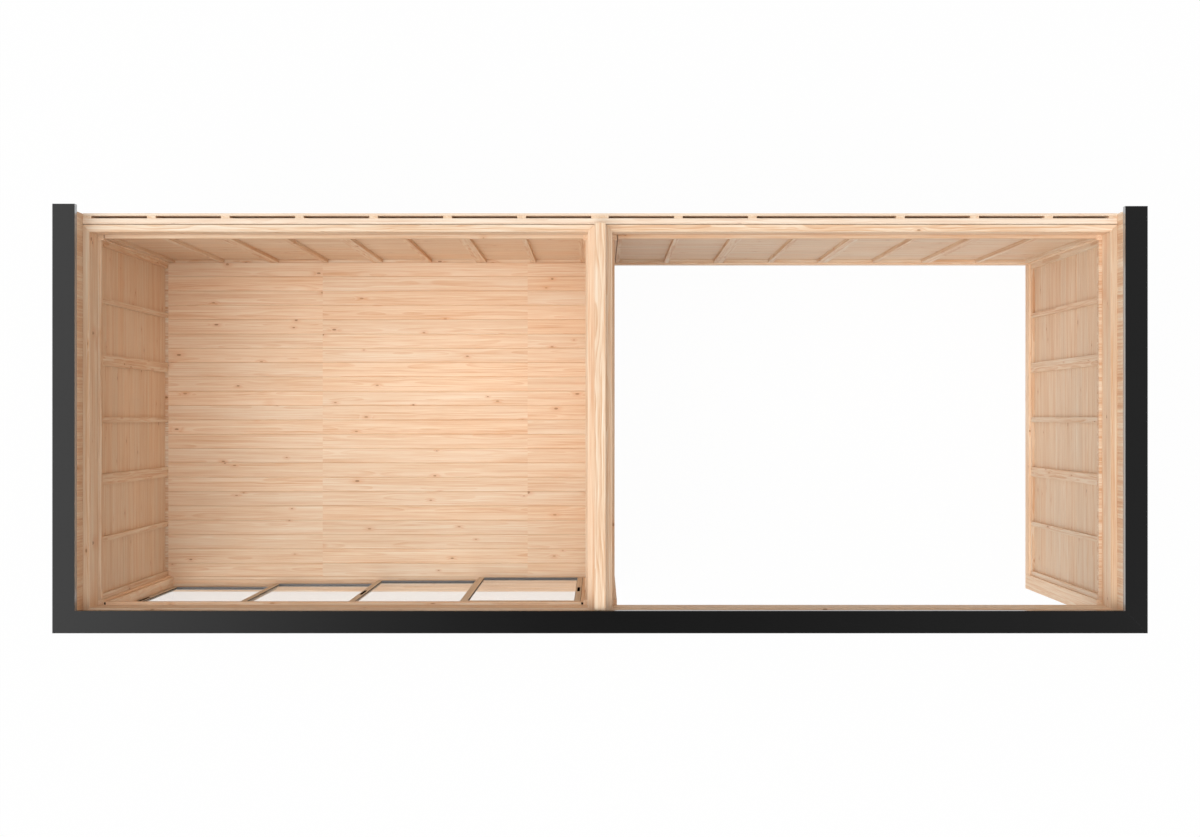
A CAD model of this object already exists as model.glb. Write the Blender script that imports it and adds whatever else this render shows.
import math
import random
import bpy
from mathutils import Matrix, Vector


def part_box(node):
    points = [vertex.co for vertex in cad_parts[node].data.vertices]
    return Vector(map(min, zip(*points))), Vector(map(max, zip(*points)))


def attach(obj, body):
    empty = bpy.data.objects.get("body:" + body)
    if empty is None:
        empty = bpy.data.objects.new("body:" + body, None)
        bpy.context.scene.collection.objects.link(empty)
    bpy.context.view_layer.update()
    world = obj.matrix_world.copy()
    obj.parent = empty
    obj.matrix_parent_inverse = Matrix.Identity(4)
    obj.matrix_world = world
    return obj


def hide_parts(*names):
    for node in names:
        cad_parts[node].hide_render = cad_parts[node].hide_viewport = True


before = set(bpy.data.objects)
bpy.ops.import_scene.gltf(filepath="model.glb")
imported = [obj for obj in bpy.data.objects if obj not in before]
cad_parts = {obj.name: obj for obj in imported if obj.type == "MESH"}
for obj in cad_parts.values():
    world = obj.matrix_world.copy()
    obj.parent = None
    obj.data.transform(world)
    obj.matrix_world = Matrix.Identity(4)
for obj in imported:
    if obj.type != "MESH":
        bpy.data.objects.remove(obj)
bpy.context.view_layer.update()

# ---------- camera ----------

CAMERA_HEIGHT = 14.69
CAMERA_LENS = 45.3

# ---------- sizes that the CAD nodes don't give on their own ----------

X, Y, Z = 0, 1, 2

# Wall panels: their number, the gap between two, and the room that a back wall leaves at its first post
BACK_PANELS = 4
SIDE_PANELS = 3
PANEL_GAP = 0.003
BACK_CLEAR = 0.008
STUD = 0.045
FRAME_DEPTH = 0.030
TOP_PLATE = 0.045
STUD_ARRIS = (0.0008, 0.0008, 0.0008)

# Level boards on the panels, with a lower first one, and the bevels at their joints
CLADDING_BOARD = 0.152
FIRST_CLADDING_BOARD = 0.083
DEEP_JOINT, SHALLOW_JOINT, JOINT_DEPTH = 0.0045, 0.002, 0.004

# Floor boards: their width, where their ends meet along X, and their bevels
FLOOR_BOARD = 0.138
FLOOR_ENDS = (-2.671, -0.697)
FLOOR_ARRIS = (0.005, 0.005, 0.007)

# Doors: gaskets round the panes, how far they stand off the pane, flush pulls, and the slots in the head
GASKET = 0.002
GASKET_ARRIS = (0.0005, 0.0005, 0.0005)
GASKET_OUTSIDE, GASKET_ROOM_SIDE, GASKET_LEVEL = 0.003, 0.0055, 0.002
PULL_DEPTH = 0.004
SLOT_LENGTH, SLOT_WIDTH, SLOT_EDGE = 0.016, 0.020, 0.004
PLATE_LOW, PLATE_HIGH, PLATE_ARRIS = 0.012, 0.030, (0.001, 0.001, 0.001)

# Edges of the CAD nodes
BEAM_BEVEL, DOOR_BEVEL, LEAF_BEVEL, TRIM_BEVEL = 0.0025, 0.001, 0.0015, 0.0004


def size_of(node):
    low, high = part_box(node)
    return low, high, high - low


FLOOR_LOW, FLOOR_HIGH, _ = size_of("floor_deck")
ROOM_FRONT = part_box("post_front_left")[1].y


# ---------- colours and node helpers ----------

def srgb(code, alpha=1.0):
    """A linear colour from a #rrggbb code."""
    parts = [int(code[i:i + 2], 16) / 255 for i in (1, 3, 5)]
    return [p / 12.92 if p <= 0.04045 else ((p + 0.055) / 1.055) ** 2.4 for p in parts] + [alpha]


def node(tree, kind, inputs=None, **settings):
    """A new node; inputs maps a socket's name or number to a value or to another node's output."""
    made = tree.nodes.new(kind)
    for key, value in settings.items():
        setattr(made, key, value)
    for key, value in (inputs or {}).items():
        if isinstance(value, bpy.types.NodeSocket):
            tree.links.new(value, made.inputs[key])
        else:
            made.inputs[key].default_value = value
    return made


def calc(tree, operation, a, b=0.0, c=0.0):
    return node(tree, "ShaderNodeMath", {0: a, 1: b, 2: c}, operation=operation).outputs[0]


def vec(tree, operation, a, b=(0, 0, 0)):
    made = node(tree, "ShaderNodeVectorMath", {0: a, 1: b}, operation=operation)
    return made.outputs["Value" if operation in ("LENGTH", "DOT_PRODUCT", "DISTANCE") else "Vector"]


def between(tree, value, start, end, low=0.0, high=1.0):
    """value taken smoothly from start..end to low..high."""
    made = node(tree, "ShaderNodeMapRange", {"Value": value, "From Min": start, "From Max": end,
                                             "To Min": low, "To Max": high},
                interpolation_type="SMOOTHSTEP")
    return made.outputs["Result"]


def noise(tree, vector, detail=2.0, rough=0.5, distort=0.0):
    return node(tree, "ShaderNodeTexNoise", {"Vector": vector, "Scale": 1.0, "Detail": detail,
                                             "Roughness": rough, "Distortion": distort})


def mix_colour(tree, factor, a, b, blend="MIX"):
    made = node(tree, "ShaderNodeMix", {"Factor": factor}, data_type="RGBA", blend_type=blend)
    for socket, value in ((made.inputs[6], a), (made.inputs[7], b)):
        if isinstance(value, bpy.types.NodeSocket):
            tree.links.new(value, socket)
        else:
            socket.default_value = value
    return made.outputs[2]


def ramp(tree, factor, stops):
    made = node(tree, "ShaderNodeValToRGB", {"Fac": factor})
    elements = made.color_ramp.elements
    while len(elements) < len(stops):
        elements.new(0.5)
    for element, (position, colour) in zip(elements, stops):
        element.position = position
        element.color = colour
    return made.outputs["Color"]


def new_material(name):
    material = bpy.data.materials.new(name)
    material.use_nodes = True
    tree = material.node_tree
    return material, tree, tree.nodes["Principled BSDF"]


# ---------- wood ----------

# Cells that may hold a knot, along the tree in metres and round it in radians; a knot's length over its
# width, its least and greatest radius, and the share of cells that are empty
KNOT_RUN = 0.8
KNOT_ARC = 1.25
KNOT_LENGTH = 2.6
SMALL_KNOT, KNOT_SPREAD = 0.0035, 0.0055
NO_KNOT = 0.58
RINGS_PER_METRE = 150.0


def grain_group():
    """Solid pine. Grain runs along x and the heart of the tree is the line y = z = 0, in metres."""
    tree = bpy.data.node_groups.new("pine_grain", "ShaderNodeTree")
    tree.interface.new_socket("Grain", in_out="INPUT", socket_type="NodeSocketVector")
    tree.interface.new_socket("Tone", in_out="INPUT", socket_type="NodeSocketFloat")
    tree.interface.new_socket("Figure", in_out="INPUT", socket_type="NodeSocketFloat")
    tree.interface.new_socket("Color", in_out="OUTPUT", socket_type="NodeSocketColor")
    tree.interface.new_socket("Roughness", in_out="OUTPUT", socket_type="NodeSocketFloat")
    tree.interface.new_socket("Height", in_out="OUTPUT", socket_type="NodeSocketFloat")
    inside = node(tree, "NodeGroupInput")
    grain, tone = inside.outputs["Grain"], inside.outputs["Tone"]
    along, across, up = node(tree, "ShaderNodeSeparateXYZ", {0: grain}).outputs
    slow = noise(tree, vec(tree, "MULTIPLY", grain, (1.1, 5.0, 5.0)), 2.0)
    bend = vec(tree, "SUBTRACT", slow.outputs["Color"], (0.5, 0.5, 0.5))
    bent = vec(tree, "ADD", grain, vec(tree, "MULTIPLY", bend, (0.0, 0.034, 0.034)))
    radius = vec(tree, "LENGTH", vec(tree, "MULTIPLY", bent, (0.0, 1.0, 1.0)))

    # knots are branches that grow out from the heart: cells along the tree and round it
    turn = calc(tree, "DIVIDE", calc(tree, "ARCTAN2", up, across), KNOT_ARC)
    run_cell = calc(tree, "DIVIDE", along, KNOT_RUN)
    place = node(tree, "ShaderNodeCombineXYZ", {0: run_cell, 1: turn}).outputs[0]
    cell = node(tree, "ShaderNodeTexVoronoi", {"Vector": place, "Scale": 1.0, "Randomness": 0.85},
                voronoi_dimensions="2D")
    offset = vec(tree, "SUBTRACT", place, cell.outputs["Position"])
    away = node(tree, "ShaderNodeSeparateXYZ", {0: offset}).outputs
    run = calc(tree, "MULTIPLY", away[0], KNOT_RUN / KNOT_LENGTH)
    arc = calc(tree, "MULTIPLY", calc(tree, "MULTIPLY", away[1], KNOT_ARC), radius)
    arc_squared = calc(tree, "MULTIPLY", arc, arc)
    knot_distance = calc(tree, "SQRT", calc(tree, "MULTIPLY_ADD", run, run, arc_squared))
    chance = node(tree, "ShaderNodeSeparateColor", {"Color": cell.outputs["Color"]}).outputs
    present = calc(tree, "GREATER_THAN", chance[0], NO_KNOT)
    knot_radius = calc(tree, "MULTIPLY_ADD", chance[1], KNOT_SPREAD, SMALL_KNOT)
    relative = calc(tree, "DIVIDE", knot_distance, knot_radius)
    core = calc(tree, "MULTIPLY", between(tree, relative, 1.05, 0.6), present)
    halo = calc(tree, "MULTIPLY", between(tree, relative, 4.5, 0.4), present)
    dead = calc(tree, "MULTIPLY", between(tree, chance[2], 0.2, 0.8), core)

    # growth rings, pushed aside by the knots
    radius = calc(tree, "MULTIPLY_ADD", halo, 0.006, radius)
    year_place = node(tree, "ShaderNodeCombineXYZ", {0: calc(tree, "MULTIPLY", radius, 60.0), 1: tone})
    years = noise(tree, year_place.outputs[0])
    ring = calc(tree, "MULTIPLY", radius, RINGS_PER_METRE)
    ring = calc(tree, "MULTIPLY_ADD", years.outputs["Fac"], 2.2, ring)
    ring = calc(tree, "FRACT", ring)
    late = calc(tree, "MULTIPLY", between(tree, ring, 0.2, 0.88), between(tree, ring, 1.0, 0.93))

    # streaks of colour and fibres
    broad = noise(tree, vec(tree, "MULTIPLY", grain, (0.8, 19.0, 19.0)), 3.0, 0.6).outputs["Fac"]
    streak = noise(tree, vec(tree, "MULTIPLY", grain, (1.4, 80.0, 80.0)), 3.0, 0.65).outputs["Fac"]
    fibre = noise(tree, vec(tree, "MULTIPLY", grain, (11.0, 620.0, 620.0))).outputs["Fac"]
    warm = calc(tree, "MULTIPLY_ADD", late, 0.15, -0.89)
    for amount, part in ((0.66, broad), (0.72, streak), (0.24, fibre), (0.10, tone)):
        warm = calc(tree, "MULTIPLY_ADD", part, amount, warm)
    warm = calc(tree, "MULTIPLY_ADD", warm, inside.outputs["Figure"], 0.48)
    colour = ramp(tree, warm, [(0.14, srgb("#fbebd6")), (0.34, srgb("#f6dfc5")), (0.5, srgb("#f1d4b6")),
                               (0.66, srgb("#eac5a2")), (0.86, srgb("#deb08a"))])
    colour = mix_colour(tree, calc(tree, "MULTIPLY", halo, 0.40), colour, srgb("#dfa679"))
    colour = mix_colour(tree, calc(tree, "MULTIPLY", core, 0.55), colour, srgb("#b07a4e"))
    colour = mix_colour(tree, calc(tree, "MULTIPLY", dead, 0.35), colour, srgb("#7d5538"))

    rough = calc(tree, "MULTIPLY_ADD", streak, 0.22, 0.46)
    height = calc(tree, "MULTIPLY_ADD", late, 0.55, calc(tree, "MULTIPLY", fibre, 0.35))
    height = calc(tree, "MULTIPLY_ADD", core, 0.8, height)
    node(tree, "NodeGroupOutput", {"Color": colour, "Roughness": rough, "Height": height})
    return tree


GRAIN = grain_group()
NO_TINT = "#ffffff"


def wood_surface(tree, shader, vector, tone, tint=NO_TINT, figure=1.0, bleach=0.0, top_tint=NO_TINT):
    """Links the pine pattern to a material's shader. figure is the strength of its streaks, bleach
    turns it paler and top_tint colours the faces that look up."""
    grain = node(tree, "ShaderNodeGroup", {}, node_tree=GRAIN)
    tree.links.new(vector, grain.inputs["Grain"])
    tree.links.new(tone, grain.inputs["Tone"])
    grain.inputs["Figure"].default_value = figure
    colour = grain.outputs["Color"]
    level = calc(tree, "MULTIPLY_ADD", tone, 0.07, 0.955)
    shade = node(tree, "ShaderNodeCombineColor", {0: level, 1: level, 2: level}).outputs[0]
    colour = mix_colour(tree, 1.0, colour, shade, "MULTIPLY")
    if tint != NO_TINT:
        colour = mix_colour(tree, 1.0, colour, srgb(tint), "MULTIPLY")
    if bleach:
        colour = mix_colour(tree, bleach, colour, srgb("#fff8ec"))
    if top_tint != NO_TINT:
        normal = node(tree, "ShaderNodeTexCoord").outputs["Normal"]
        up = node(tree, "ShaderNodeSeparateXYZ", {0: normal}).outputs[Z]
        up = calc(tree, "GREATER_THAN", up, 0.7)
        colour = mix_colour(tree, up, colour, mix_colour(tree, 1.0, colour, srgb(top_tint), "MULTIPLY"))
    bump = node(tree, "ShaderNodeBump", {"Strength": 0.25, "Distance": 0.0006,
                                         "Height": grain.outputs["Height"]})
    tree.links.new(colour, shader.inputs["Base Color"])
    tree.links.new(grain.outputs["Roughness"], shader.inputs["Roughness"])
    tree.links.new(bump.outputs["Normal"], shader.inputs["Normal"])
    shader.inputs["Specular IOR Level"].default_value = 0.3


def board_material(name, tint=NO_TINT, figure=1.0):
    """Wood for the boards made here, which carry their own grain coordinates."""
    material, tree, shader = new_material(name)
    vector = node(tree, "ShaderNodeAttribute", attribute_name="grain").outputs["Vector"]
    tone = node(tree, "ShaderNodeAttribute", attribute_name="tone").outputs["Fac"]
    wood_surface(tree, shader, vector, tone, tint, figure)
    return material


def beam_material(name, along, seed, tint=NO_TINT, figure=1.0, level_above=None, bleach=0.0,
                  top_tint=NO_TINT):
    """Wood for one CAD node, with the grain along an axis and the heart line near the node's middle.
    Above the height level_above the grain runs along X."""
    material, tree, shader = new_material("wood_" + name)
    low, high, _ = size_of(name)
    rng = random.Random(seed)
    middle = (low + high) / 2
    place = node(tree, "ShaderNodeTexCoord").outputs["Object"]
    place = vec(tree, "SUBTRACT", place, middle)
    parts = node(tree, "ShaderNodeSeparateXYZ", {0: place}).outputs
    order = [along] + [a for a in (X, Y, Z) if a != along]
    place = node(tree, "ShaderNodeCombineXYZ", {i: parts[order[i]] for i in range(3)}).outputs[0]
    if level_above is not None:
        high_up = calc(tree, "GREATER_THAN", parts[Z], level_above - middle.z)
        level = node(tree, "ShaderNodeCombineXYZ", {i: parts[(X, Z, Y)[i]] for i in range(3)}).outputs[0]
        place = node(tree, "ShaderNodeMix", {0: high_up, 4: place, 5: level}, data_type="VECTOR").outputs[1]
    side = rng.choice((-1, 1))
    shift = Vector((rng.uniform(5, 40), side * rng.uniform(0.02, 0.06), rng.uniform(-0.06, 0.06)))
    vector = vec(tree, "ADD", place, shift)
    piece = node(tree, "ShaderNodeNewGeometry").outputs["Random Per Island"]
    apart = node(tree, "ShaderNodeCombineXYZ", {"X": calc(tree, "MULTIPLY", piece, 9.0)}).outputs[0]
    vector = vec(tree, "ADD", vector, apart)
    wood_surface(tree, shader, vector, piece, tint, figure, bleach, top_tint)
    return material


class Timber:
    """Planed boards gathered into one mesh. Each board has its own place along a tree and its own
    distance from the heart, kept in the mesh as grain coordinates, and its own tone."""

    def __init__(self, seed):
        self.rng = random.Random(seed)
        self.points, self.faces, self.grain, self.tone = [], [], [], []

    def board(self, low, high, along, arris=(0.0015, 0.0015, 0.0015)):
        """A board between two corners. arris gives its bevels: their width across the board at its
        low and its high edge, and their depth through the board's thickness."""
        across = [a for a in (X, Y, Z) if a != along]
        size = [high[a] - low[a] for a in across]
        thin = 0 if size[0] < size[1] else 1
        (u0, v0), (u1, v1) = [low[a] for a in across], [high[a] for a in across]
        near, far, deep = arris
        if thin:
            section = [(u0 + near, v0), (u1 - far, v0), (u1, v0 + deep), (u1, v1 - deep),
                       (u1 - far, v1), (u0 + near, v1), (u0, v1 - deep), (u0, v0 + deep)]
        else:
            section = [(u0 + deep, v0), (u1 - deep, v0), (u1, v0 + near), (u1, v1 - far),
                       (u1 - deep, v1), (u0 + deep, v1), (u0, v1 - far), (u0, v0 + near)]
        start = len(self.points)
        wide = 1 - thin
        heart = [0.0, 0.0]
        heart[thin] = self.rng.choice((-1, 1)) * (size[thin] / 2 + self.rng.uniform(0.02, 0.10))
        heart[wide] = self.rng.uniform(-0.4, 0.4) * size[wide]
        run = self.rng.uniform(0, 60)
        shade = self.rng.random()
        for end in (low[along], high[along]):
            for u, v in section:
                point = [0.0, 0.0, 0.0]
                point[across[0]], point[across[1]], point[along] = u, v, end
                self.points.append(point)
                self.grain.append((point[along] + run, u - (u0 + u1) / 2 + heart[0],
                                   v - (v0 + v1) / 2 + heart[1]))
                self.tone.append(shade)
        sides = [[i, (i + 1) % 8, (i + 1) % 8 + 8, i + 8] for i in range(8)]
        ends = [list(range(7, -1, -1)), list(range(8, 16))]
        for face in sides + ends:
            if along == Y:
                face = face[::-1]
            self.faces.append([start + i for i in face])

    def build(self, name, material, body="building", replaces=(), slot=None):
        mesh = bpy.data.meshes.new(name)
        mesh.from_pydata(self.points, [], self.faces)
        grain = mesh.attributes.new("grain", "FLOAT_VECTOR", "POINT")
        grain.data.foreach_set("vector", [c for g in self.grain for c in g])
        tone = mesh.attributes.new("tone", "FLOAT", "POINT")
        tone.data.foreach_set("value", self.tone)
        mesh.materials.append(material)
        piece = bpy.data.objects.new(name, mesh)
        bpy.context.scene.collection.objects.link(piece)
        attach(piece, body)
        if replaces:
            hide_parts(*replaces)
        return piece


WALL_TINT = "#f2f1f0"
WALL_PINE = board_material("wall_pine", WALL_TINT)
FRAME_PINE = board_material("frame_pine", WALL_TINT, figure=1.5)
CROSS_PINE = board_material("cross_pine", WALL_TINT, figure=2.3)
RIM_PINE = board_material("rim_pine", figure=2.0)
FLOOR_PINE = board_material("floor_pine", figure=1.05)


# ---------- floor ----------

def floor():
    """Boards along X in three lengths, with V joints, cut round the back posts."""
    timber = Timber(11)
    low, high = FLOOR_LOW, FLOOR_HIGH
    _, (left_post, _, _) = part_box("post_back_left")
    right_post, back_posts = -left_post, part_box("post_back_left")[0].y
    middle_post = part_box("sill_front")[1].x
    rows = math.ceil((high.y - low.y) / FLOOR_BOARD)
    for row in range(rows):
        y0 = low.y + row * FLOOR_BOARD
        y1 = min(y0 + FLOOR_BOARD, high.y)
        inside = y0 > ROOM_FRONT - FLOOR_BOARD / 2
        x0, x1 = (low.x, high.x) if inside else (left_post, middle_post)
        cuts = [x0] + list(FLOOR_ENDS) + [x1]
        for a, b in zip(cuts, cuts[1:]):
            timber.board((a, y0, low.z), (b, y1, high.z), X, FLOOR_ARRIS)
    timber.build("floor_boards", FLOOR_PINE, replaces=["floor_deck"], slot="floor_boards")


# ---------- walls ----------

def wall(name, along, inner_high, panels, seed, clear=0.0, cross_grain_plate=False, cross_grain_foot=False):
    """The panels of one wall: level boards on a light frame that faces into the bay. The first
    panel's frame stops short of the post by clear. A cross-grain plate or foot has short grain that
    runs through the wall."""
    low, high, size = size_of(name)
    deep = X if along == Y else Y
    inner, outer = (high[deep], low[deep]) if inner_high else (low[deep], high[deep])
    face = inner + (outer - inner) * FRAME_DEPTH / size[deep]
    length = (size[along] - (panels - 1) * PANEL_GAP) / panels
    boards, frames, crossed = Timber(seed), Timber(seed + 1), Timber(seed + 60)
    plates, plate_along = (crossed, deep) if cross_grain_plate else (frames, along)
    feet, foot_along = (crossed, deep) if cross_grain_foot else (frames, along)

    def corners(a0, a1, d0, d1, z0, z1):
        first, second = [0.0, 0.0, z0], [0.0, 0.0, z1]
        first[along], second[along] = a0, a1
        first[deep], second[deep] = min(d0, d1), max(d0, d1)
        return first, second

    plate = corners(low[along] + clear, high[along], inner, face, high.z - TOP_PLATE, high.z)
    plates.board(*plate, plate_along)
    levels = [low.z, low.z + FIRST_CLADDING_BOARD]
    while levels[-1] + CLADDING_BOARD < high.z:
        levels.append(levels[-1] + CLADDING_BOARD)
    levels.append(high.z)
    for i in range(panels):
        start = low[along] + i * (length + PANEL_GAP)
        end = start + length
        board_start = start - (PANEL_GAP / 2 if i else 0)
        board_end = end + (PANEL_GAP / 2 if i < panels - 1 else 0)
        for k, (z0, z1) in enumerate(zip(levels, levels[1:])):
            joint = (DEEP_JOINT, SHALLOW_JOINT) if k % 2 else (SHALLOW_JOINT, DEEP_JOINT)
            board = corners(board_start, board_end, face, outer, z0, z1)
            boards.board(*board, along, joint + (JOINT_DEPTH,))
        middle = end - (length + STUD) / 2
        studs = ((board_start if i else start + clear, start + STUD), (middle, middle + STUD),
                 (end - STUD, board_end))
        for a, b in studs:
            frames.board(*corners(a, b, inner, face, low.z, high.z - TOP_PLATE), Z, STUD_ARRIS)
        for (_, a), (b, _) in zip(studs, studs[1:]):
            feet.board(*corners(a, b, inner, face, low.z, FLOOR_HIGH.z), foot_along)
    boards.build(name + "_boards", WALL_PINE, replaces=[name], slot="wall_boards")
    frames.build(name + "_frame", FRAME_PINE, slot="wall_boards")
    if crossed.points:
        crossed.build(name + "_cross_grain", CROSS_PINE, slot="wall_boards")


# ---------- roof edge ----------

def rim():
    """Rim boards on three sides. The side boards' grain is upright."""
    low, high, _ = size_of("rim_boards")
    ring_low, ring_high, _ = size_of("ring_beam_front")
    left_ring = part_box("ring_beam_left")[0].x
    boards = Timber(31)
    boards.board((left_ring, low.y, ring_high.z), (-left_ring, ring_low.y, high.z), X)
    for x0, x1 in ((low.x, left_ring), (-left_ring, high.x)):
        boards.board((x0, low.y, low.z), (x1, high.y, high.z), Z)
    boards.build("rim_timber", RIM_PINE, replaces=["rim_boards"], slot="planed_pine")


def bevel(piece, width, segments=2):
    """Softens a CAD node's edges. The weld first joins its faces, which share no points."""
    weld = piece.modifiers.new("weld", "WELD")
    weld.merge_threshold = 1e-5
    edge = piece.modifiers.new("bevel", "BEVEL")
    edge.width = width
    edge.segments = segments
    edge.limit_method = "ANGLE"
    edge.angle_limit = math.radians(30)


# Beams whose tops are tinted, that are paler, or whose grain is stronger than the others'
TOP_TINTS = {"ring_beam_left": "#ebe7e2", "ring_beam_right": "#ece8e3"}
PALE_BEAMS = {"outer_beam_back": 0.28, "fascia_back": 0.28}
FIGURES = {"centre_beam": 1.8, "ring_beam_back": 1.6}
PLAIN_FIGURE = 1.3


def beams():
    """Posts, sills and roof beams keep their CAD shape and get pine with the grain along them."""
    along = {
        "post_back_left": Z, "post_back_right": Z, "post_front_left": Z, "post_front_right": Z,
        "posts_back_middle": Z, "posts_front_middle": Z,
        "sill_back": X, "sill_front": X, "sill_left": Y, "sill_right": Y, "sill_middle": Y,
        "ring_beam_left": Y, "ring_beam_right": Y, "ring_beam_middle": Y,
        "ring_beam_back": X, "ring_beam_front": X, "centre_beam": Y, "outer_beam_back": X,
        "fascia_back": X, "spacer_blocks": Z, "soffit_boards": X,
    }
    for seed, (name, axis) in enumerate(along.items()):
        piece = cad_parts[name]
        piece.data.materials.clear()
        wood = beam_material(name, axis, 100 + seed, figure=FIGURES.get(name, PLAIN_FIGURE),
                             bleach=PALE_BEAMS.get(name, 0.0), top_tint=TOP_TINTS.get(name, NO_TINT))
        piece.data.materials.append(wood)
        bevel(piece, BEAM_BEVEL)


# ---------- doors ----------

DOOR_TINT = "#e4f1fc"
LEAVES = 4


def doors():
    """The sliding doors: CAD frames, rails and panes, with gaskets, recessed pulls and plates added."""
    for seed, (name, axis) in enumerate({"door_head": X, "door_jambs": Z, "door_track": X}.items()):
        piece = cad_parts[name]
        piece.data.materials.clear()
        piece.data.materials.append(beam_material(name, axis, 200 + seed))
        bevel(piece, DOOR_BEVEL)
    rail, glass, black = rail_metal(), clear_glass(), matt_black()
    for i in range(1, LEAVES + 1):
        name = f"leaf_{i}_frame"
        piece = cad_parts[name]
        piece.data.materials.clear()
        low, high, _ = size_of(f"leaf_{i}_glass")
        piece.data.materials.append(beam_material(name, Z, 210 + i, DOOR_TINT, 0.9, high.z))
        bevel(piece, LEAF_BEVEL)
        for part, material in (("rail", rail), ("glass", glass)):
            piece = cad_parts[f"leaf_{i}_{part}"]
            piece.data.materials.clear()
            piece.data.materials.append(material)
        bevel(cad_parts[f"leaf_{i}_rail"], DOOR_BEVEL)
        gasket(i, low, high, black)
        if f"leaf_{i}_pull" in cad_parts:
            pull(i, black)
    fixings(black)


def gasket(i, low, high, material):
    """Glazing gaskets on both faces of a leaf's pane. The upright ones stand further off it in the room."""
    strips = Timber(220 + i)
    faces = (((low.y - GASKET_OUTSIDE, low.y), (low.y - GASKET_OUTSIDE, low.y)),
             ((high.y, high.y + GASKET_LEVEL), (high.y, high.y + GASKET_ROOM_SIDE)))
    for level, upright in faces:
        for z0, z1 in ((low.z, low.z + GASKET), (high.z - GASKET, high.z)):
            strips.board((low.x, level[0], z0), (high.x, level[1], z1), X, GASKET_ARRIS)
        for x0, x1 in ((low.x, low.x + GASKET), (high.x - GASKET, high.x)):
            strips.board((x0, upright[0], low.z + GASKET), (x1, upright[1], high.z - GASKET), Z, GASKET_ARRIS)
    strips.build(f"leaf_{i}_gasket", material, f"leaf_{i}", slot="black_pull")


def fixings(material):
    """Black steel plates in the fixing slots at the ends of the door head."""
    low, high, _ = size_of("door_head")
    back = high.y - SLOT_EDGE
    plates = Timber(230)
    for x0, x1 in ((low.x, low.x + SLOT_LENGTH), (high.x - SLOT_LENGTH, high.x)):
        first = (x0, back - SLOT_WIDTH, low.z + PLATE_LOW)
        plates.board(first, (x1, back, low.z + PLATE_HIGH), X, PLATE_ARRIS)
    plates.build("head_fixings", material, slot="black_pull")


CORNER_POINTS = 6


def rounded(x0, x1, z0, z1, radius, y):
    """A loop of points round a rectangle with rounded corners, in a plane across Y."""
    corners = ((x1 - radius, z1 - radius), (x0 + radius, z1 - radius),
               (x0 + radius, z0 + radius), (x1 - radius, z0 + radius))
    loop = []
    for quarter, (x, z) in enumerate(corners):
        for step in range(CORNER_POINTS):
            angle = math.radians(90 * (quarter + step / (CORNER_POINTS - 1)))
            loop.append((x + radius * math.cos(angle), y, z + radius * math.sin(angle)))
    return loop


def pull(i, material):
    """Flush pulls in both faces of a stile, each with a finger recess."""
    low, high, _ = size_of(f"leaf_{i}_pull")
    points, faces = [], []
    for face, back in ((low.y, low.y + PULL_DEPTH), (high.y, high.y - PULL_DEPTH)):
        inward = 1 if back > face else -1
        stages = [(0.0, 0.0004, back), (0.0, 0.0004, face + inward * 0.0005), (0.0006, 0.0006, face),
                  (0.0040, 0.0070, face), (0.0046, 0.0066, face + inward * 0.0006),
                  (0.0055, 0.0060, face + inward * 0.0030)]
        first = len(points)
        for inset, radius, y in stages:
            points += rounded(low.x + inset, high.x - inset, low.z + inset, high.z - inset, radius, y)
        count = 4 * CORNER_POINTS
        for k in range(len(stages) - 1):
            a = first + k * count
            for j in range(count):
                n = (j + 1) % count
                quad = [a + j, a + n, a + count + n, a + count + j]
                faces.append(quad if inward > 0 else quad[::-1])
        cap, floor_of_recess = list(range(first, first + count)), list(range(a + count, a + 2 * count))
        faces.append(cap[::-1] if inward > 0 else cap)
        faces.append(floor_of_recess if inward > 0 else floor_of_recess[::-1])
    mesh = bpy.data.meshes.new(f"leaf_{i}_flush_pull")
    mesh.from_pydata(points, [], faces)
    mesh.materials.append(material)
    piece = bpy.data.objects.new(mesh.name, mesh)
    bpy.context.scene.collection.objects.link(piece)
    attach(piece, f"leaf_{i}")
    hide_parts(f"leaf_{i}_pull")


def rail_metal():
    material, tree, shader = new_material("rail_metal")
    place = node(tree, "ShaderNodeTexCoord").outputs["Object"]
    lines = noise(tree, vec(tree, "MULTIPLY", place, (3.0, 900.0, 900.0)), 2.0)
    level = calc(tree, "MULTIPLY_ADD", lines.outputs["Fac"], 0.16, 0.28)
    shader.inputs["Metallic"].default_value = 0.9
    tree.links.new(level, shader.inputs["Roughness"])
    tree.links.new(ramp(tree, lines.outputs["Fac"], [(0.3, srgb("#808386")), (0.7, srgb("#9b9ea0"))]),
                   shader.inputs["Base Color"])
    return material


def clear_glass():
    material, tree, shader = new_material("clear_glass")
    shader.inputs["Base Color"].default_value = srgb("#fbfaf8")
    shader.inputs["Roughness"].default_value = 0.0
    shader.inputs["IOR"].default_value = 1.45
    shader.inputs["Transmission Weight"].default_value = 1.0
    shadow = node(tree, "ShaderNodeLightPath").outputs["Is Shadow Ray"]
    clear = node(tree, "ShaderNodeBsdfTransparent", {"Color": srgb("#f9f7f5")})
    share = calc(tree, "MULTIPLY_ADD", shadow, -0.2, 0.86)
    both = node(tree, "ShaderNodeMixShader", {0: share, 1: shader.outputs[0], 2: clear.outputs[0]})
    tree.links.new(both.outputs[0], tree.nodes["Material Output"].inputs["Surface"])
    return material


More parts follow.
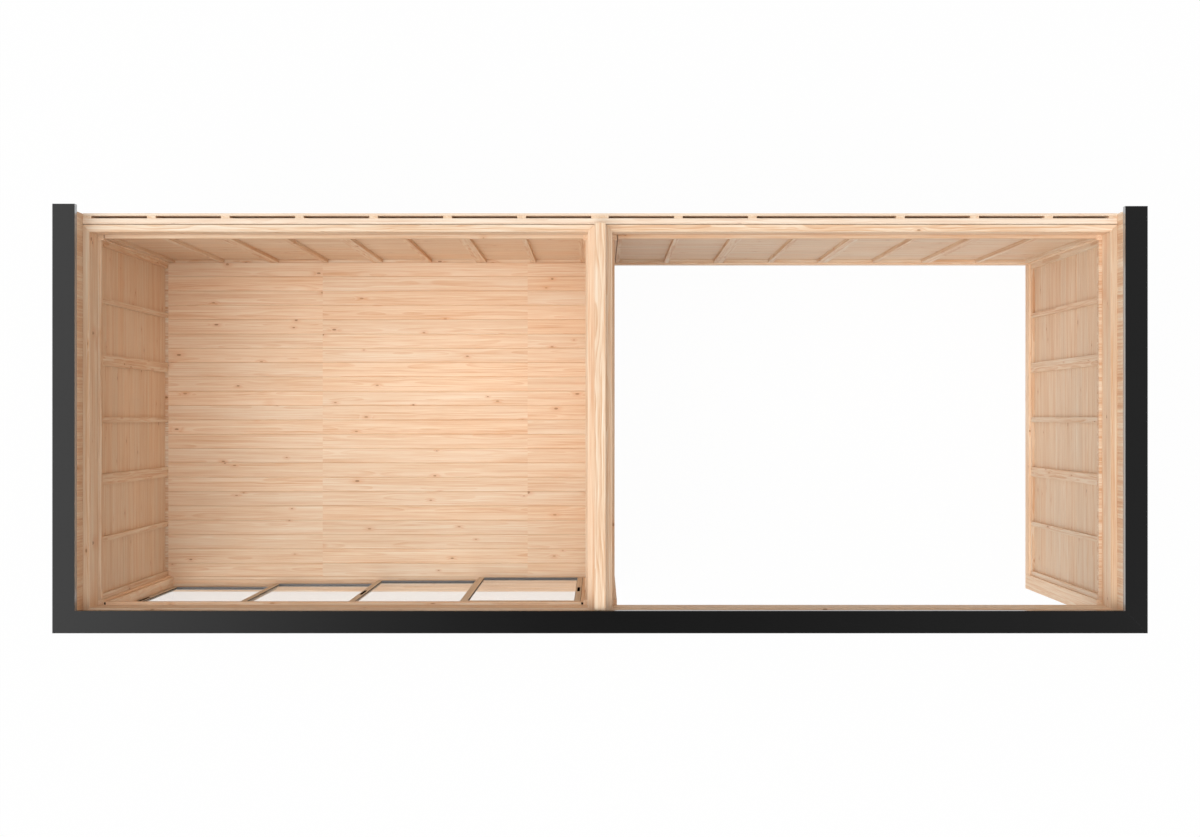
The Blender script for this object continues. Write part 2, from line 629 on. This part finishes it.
def matt_black():
    material, tree, shader = new_material("matt_black")
    place = node(tree, "ShaderNodeTexCoord").outputs["Object"]
    grit = noise(tree, vec(tree, "MULTIPLY", place, (700.0, 700.0, 700.0)), 2.0)
    tree.links.new(ramp(tree, grit.outputs["Fac"], [(0.3, srgb("#060606")), (0.7, srgb("#0c0c0c"))]),
                   shader.inputs["Base Color"])
    tree.links.new(calc(tree, "MULTIPLY_ADD", grit.outputs["Fac"], 0.2, 0.45), shader.inputs["Roughness"])
    shader.inputs["Specular IOR Level"].default_value = 0.0
    return material


# ---------- edge trim ----------

def trim():
    """Folded aluminium: satin black powder coat, with bare grey metal on the inner upstand."""
    for name, inward in (("trim_left", (1, 0, 0)), ("trim_right", (-1, 0, 0)), ("trim_front", None)):
        material, tree, shader = new_material("coat_" + name)
        place = node(tree, "ShaderNodeTexCoord").outputs["Object"]
        grit = noise(tree, vec(tree, "MULTIPLY", place, (900.0, 900.0, 900.0)), 2.0)
        cloud = noise(tree, vec(tree, "MULTIPLY", place, (3.0, 3.0, 3.0)), 3.0)
        level = calc(tree, "MULTIPLY", grit.outputs["Fac"], 0.5)
        level = calc(tree, "MULTIPLY_ADD", cloud.outputs["Fac"], 0.5, level)
        colour = ramp(tree, level, [(0.3, srgb("#0c0c0c")), (0.7, srgb("#0f0f0f"))])
        if inward:
            normal = node(tree, "ShaderNodeTexCoord").outputs["Normal"]
            faces_in = calc(tree, "GREATER_THAN", vec(tree, "DOT_PRODUCT", normal, inward), 0.5)
            high_up = calc(tree, "GREATER_THAN", node(tree, "ShaderNodeSeparateXYZ", {0: place}).outputs[2],
                           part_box("rim_boards")[1].z)
            bare = calc(tree, "MULTIPLY", faces_in, high_up)
            colour = mix_colour(tree, bare, colour, srgb("#a9abad"))
            tree.links.new(calc(tree, "MULTIPLY", bare, 0.6), shader.inputs["Metallic"])
        tree.links.new(colour, shader.inputs["Base Color"])
        rough = calc(tree, "MULTIPLY_ADD", grit.outputs["Fac"], 0.06, 0.12)
        tree.links.new(rough, shader.inputs["Roughness"])
        shader.inputs["Specular IOR Level"].default_value = 0.4
        bump = node(tree, "ShaderNodeBump", {"Strength": 0.15, "Distance": 0.0003,
                                             "Height": grit.outputs["Fac"]})
        tree.links.new(bump.outputs["Normal"], shader.inputs["Normal"])
        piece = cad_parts[name]
        piece.data.materials.clear()
        piece.data.materials.append(material)
        bevel(piece, TRIM_BEVEL)


# ---------- stage ----------

# How much of the floor's brightness to the eye is plain white; the rest takes light and shadow
GROUND_GLOW = 0.97


def ground():
    bpy.ops.mesh.primitive_plane_add(size=120)
    plane = bpy.context.object
    plane.name = "ground"
    material, tree, shader = new_material("ground")
    shader.inputs["Base Color"].default_value = (0.8, 0.8, 0.8, 1)
    shader.inputs["Roughness"].default_value = 1.0
    shader.inputs["Specular IOR Level"].default_value = 0.0
    glow = node(tree, "ShaderNodeEmission", {"Color": (1, 1, 1, 1), "Strength": 1.0})
    path = node(tree, "ShaderNodeLightPath").outputs
    seen = calc(tree, "MAXIMUM", path["Is Camera Ray"], path["Is Glossy Ray"])
    seen = calc(tree, "MAXIMUM", seen, path["Is Transmission Ray"])
    share = calc(tree, "MULTIPLY", seen, GROUND_GLOW)
    both = node(tree, "ShaderNodeMixShader", {0: share, 1: shader.outputs[0], 2: glow.outputs[0]})
    tree.links.new(both.outputs[0], tree.nodes["Material Output"].inputs["Surface"])
    plane.data.materials.append(material)


def soft_sun(name, azimuth, elevation, strength, spread):
    """A wide studio light far away, in the direction azimuth (from +X towards +Y) and elevation."""
    lamp = bpy.data.lights.new(name, "SUN")
    lamp.energy = strength
    lamp.angle = math.radians(spread)
    piece = bpy.data.objects.new(name, lamp)
    bpy.context.scene.collection.objects.link(piece)
    a, e = math.radians(azimuth), math.radians(elevation)
    toward = Vector((math.cos(e) * math.cos(a), math.cos(e) * math.sin(a), math.sin(e)))
    piece.rotation_euler = toward.to_track_quat("Z", "Y").to_euler()
    return piece


def light():
    """A key light from the left and front, a weak fill from the right, and soft light from above."""
    for lamp in (soft_sun("key", 180, 50, 1.25, 60), soft_sun("front", 245, 45, 0.95, 60),
                 soft_sun("fill", 0, 50, 0.5, 60), soft_sun("above", 0, 90, 1.18, 60)):
        lamp.visible_glossy = False
    world = bpy.data.worlds.new("studio")
    bpy.context.scene.world = world
    world.use_nodes = True
    tree = world.node_tree
    direction = node(tree, "ShaderNodeTexCoord").outputs["Generated"]
    east, _, up = node(tree, "ShaderNodeSeparateXYZ", {0: direction}).outputs
    path = node(tree, "ShaderNodeLightPath").outputs
    seen = calc(tree, "MAXIMUM", path["Is Camera Ray"], path["Is Transmission Ray"])
    slant = calc(tree, "SQRT", calc(tree, "SUBTRACT", 1.0, calc(tree, "MULTIPLY", up, up)))
    west = calc(tree, "MULTIPLY", calc(tree, "MINIMUM", east, 0.0), -3.5)
    gloss = calc(tree, "MULTIPLY_ADD", west, west, calc(tree, "MULTIPLY", slant, 1.3))
    gloss = calc(tree, "MINIMUM", gloss, 1.8)
    level = node(tree, "ShaderNodeMix", {0: path["Is Glossy Ray"], 2: 0.05, 3: gloss}).outputs[0]
    level = calc(tree, "MAXIMUM", level, seen)
    background = tree.nodes["Background"]
    background.inputs["Color"].default_value = (1, 1, 1, 1)
    tree.links.new(level, background.inputs["Strength"])


def camera():
    lens = bpy.data.cameras.new("camera")
    lens.lens = CAMERA_LENS
    lens.sensor_width = 36
    view = bpy.data.objects.new("camera", lens)
    view.location = (0, 0, CAMERA_HEIGHT)
    bpy.context.scene.collection.objects.link(view)
    bpy.context.scene.camera = view


camera()
light()
ground()
floor()
wall("left_wall", Y, True, SIDE_PANELS, 41, cross_grain_foot=True)
wall("right_wall", Y, False, SIDE_PANELS, 43, cross_grain_plate=True)
wall("partition_room", Y, False, SIDE_PANELS, 45)
wall("partition_canopy", Y, True, SIDE_PANELS, 47)
wall("back_wall_room", X, False, BACK_PANELS, 49, BACK_CLEAR)
wall("back_wall_canopy", X, False, BACK_PANELS, 51, BACK_CLEAR)
rim()
beams()
doors()
trim()

bpy.context.scene.view_settings.view_transform = "Standard"
